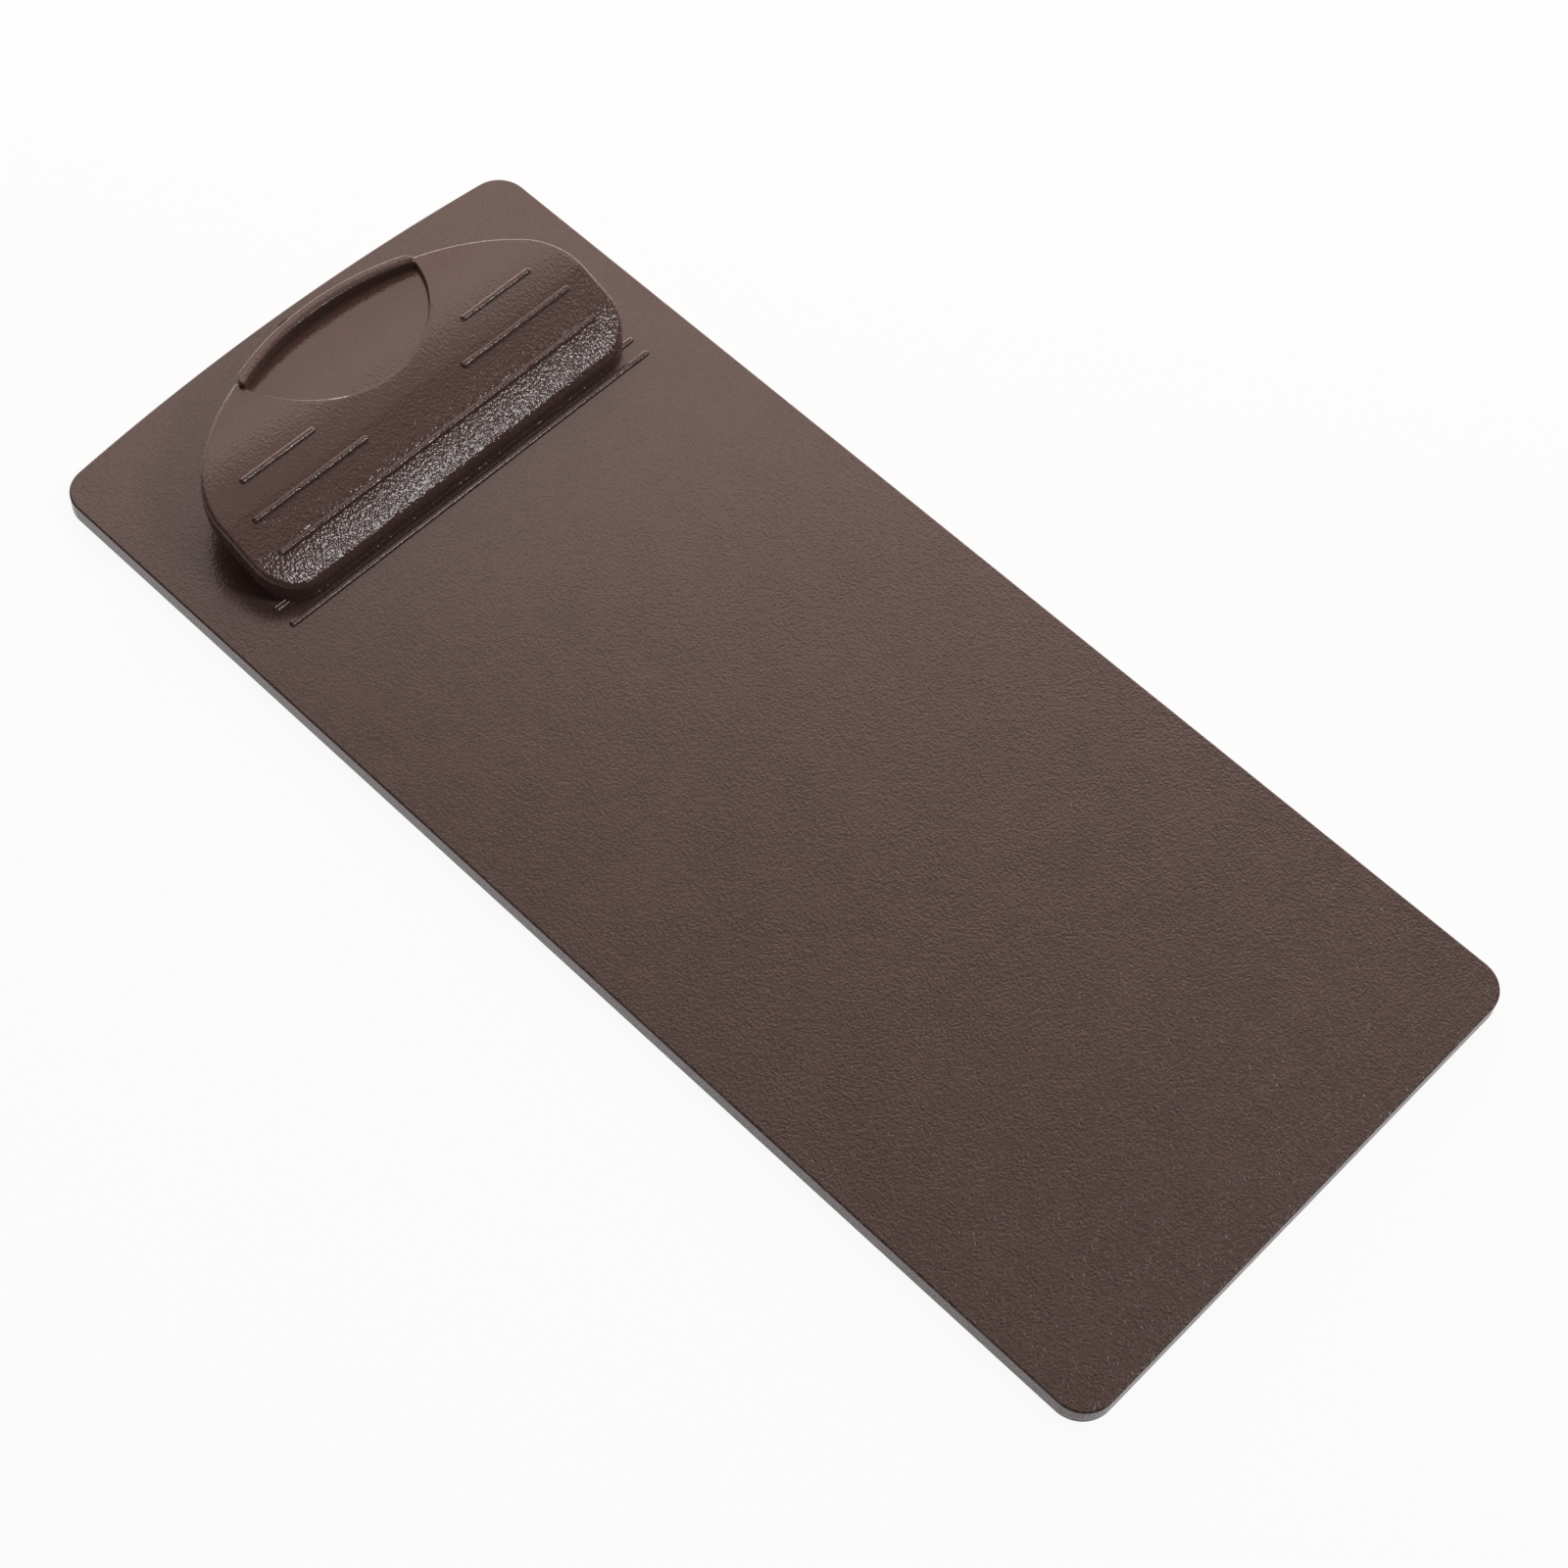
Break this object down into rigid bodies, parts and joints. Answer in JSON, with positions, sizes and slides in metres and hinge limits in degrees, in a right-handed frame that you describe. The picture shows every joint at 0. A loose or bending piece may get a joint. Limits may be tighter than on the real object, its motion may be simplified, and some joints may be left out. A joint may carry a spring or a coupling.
{
  "type": "clipboard",
  "caption": "Small moulded clipboard with a sprung clip lever at its bowed top edge, which pinches paper against the board; a hang hole lies behind the clip.",
  "frame": {"origin": "middle of the board's outline, on its underside", "axes": "+Y along the board towards the clip, +Z out of the writing face, +X to the right seen with the clip at the top"},
  "size_m": [0.1, 0.2284, 0.0153],
  "materials": {
    "board_plastic": "dark brown moulded plastic with a fine leather-like grain",
    "lever_plastic": "dark brown moulded plastic with a fine leather-like grain",
    "bracket_steel": "zinc-plated pressed sheet",
    "rivet_steel": "plated steel",
    "pin_steel": "plated steel",
    "spring_wire": "drawn spring wire"
  },
  "bodies": {
    "board": {"board": "board_plastic", "hinge_bracket": "bracket_steel", "rivet_left": "rivet_steel", "rivet_right": "rivet_steel", "hinge_pin": "pin_steel", "spring_left": "spring_wire", "spring_right": "spring_wire"},
    "lever": {"clip_lever": "lever_plastic"}
  },
  "joints": [
    {"name": "lever_hinge", "type": "hinge", "parent": "board", "child": "lever", "pos_m": [0, 0.08395, 0.00874], "axis": [-1, 0, 0], "range_deg": [0, 13], "stiffness_Nm_per_rad": 0.3, "springref_deg": -28.65, "deforming": ["spring_left", "spring_right"]}
  ]
}
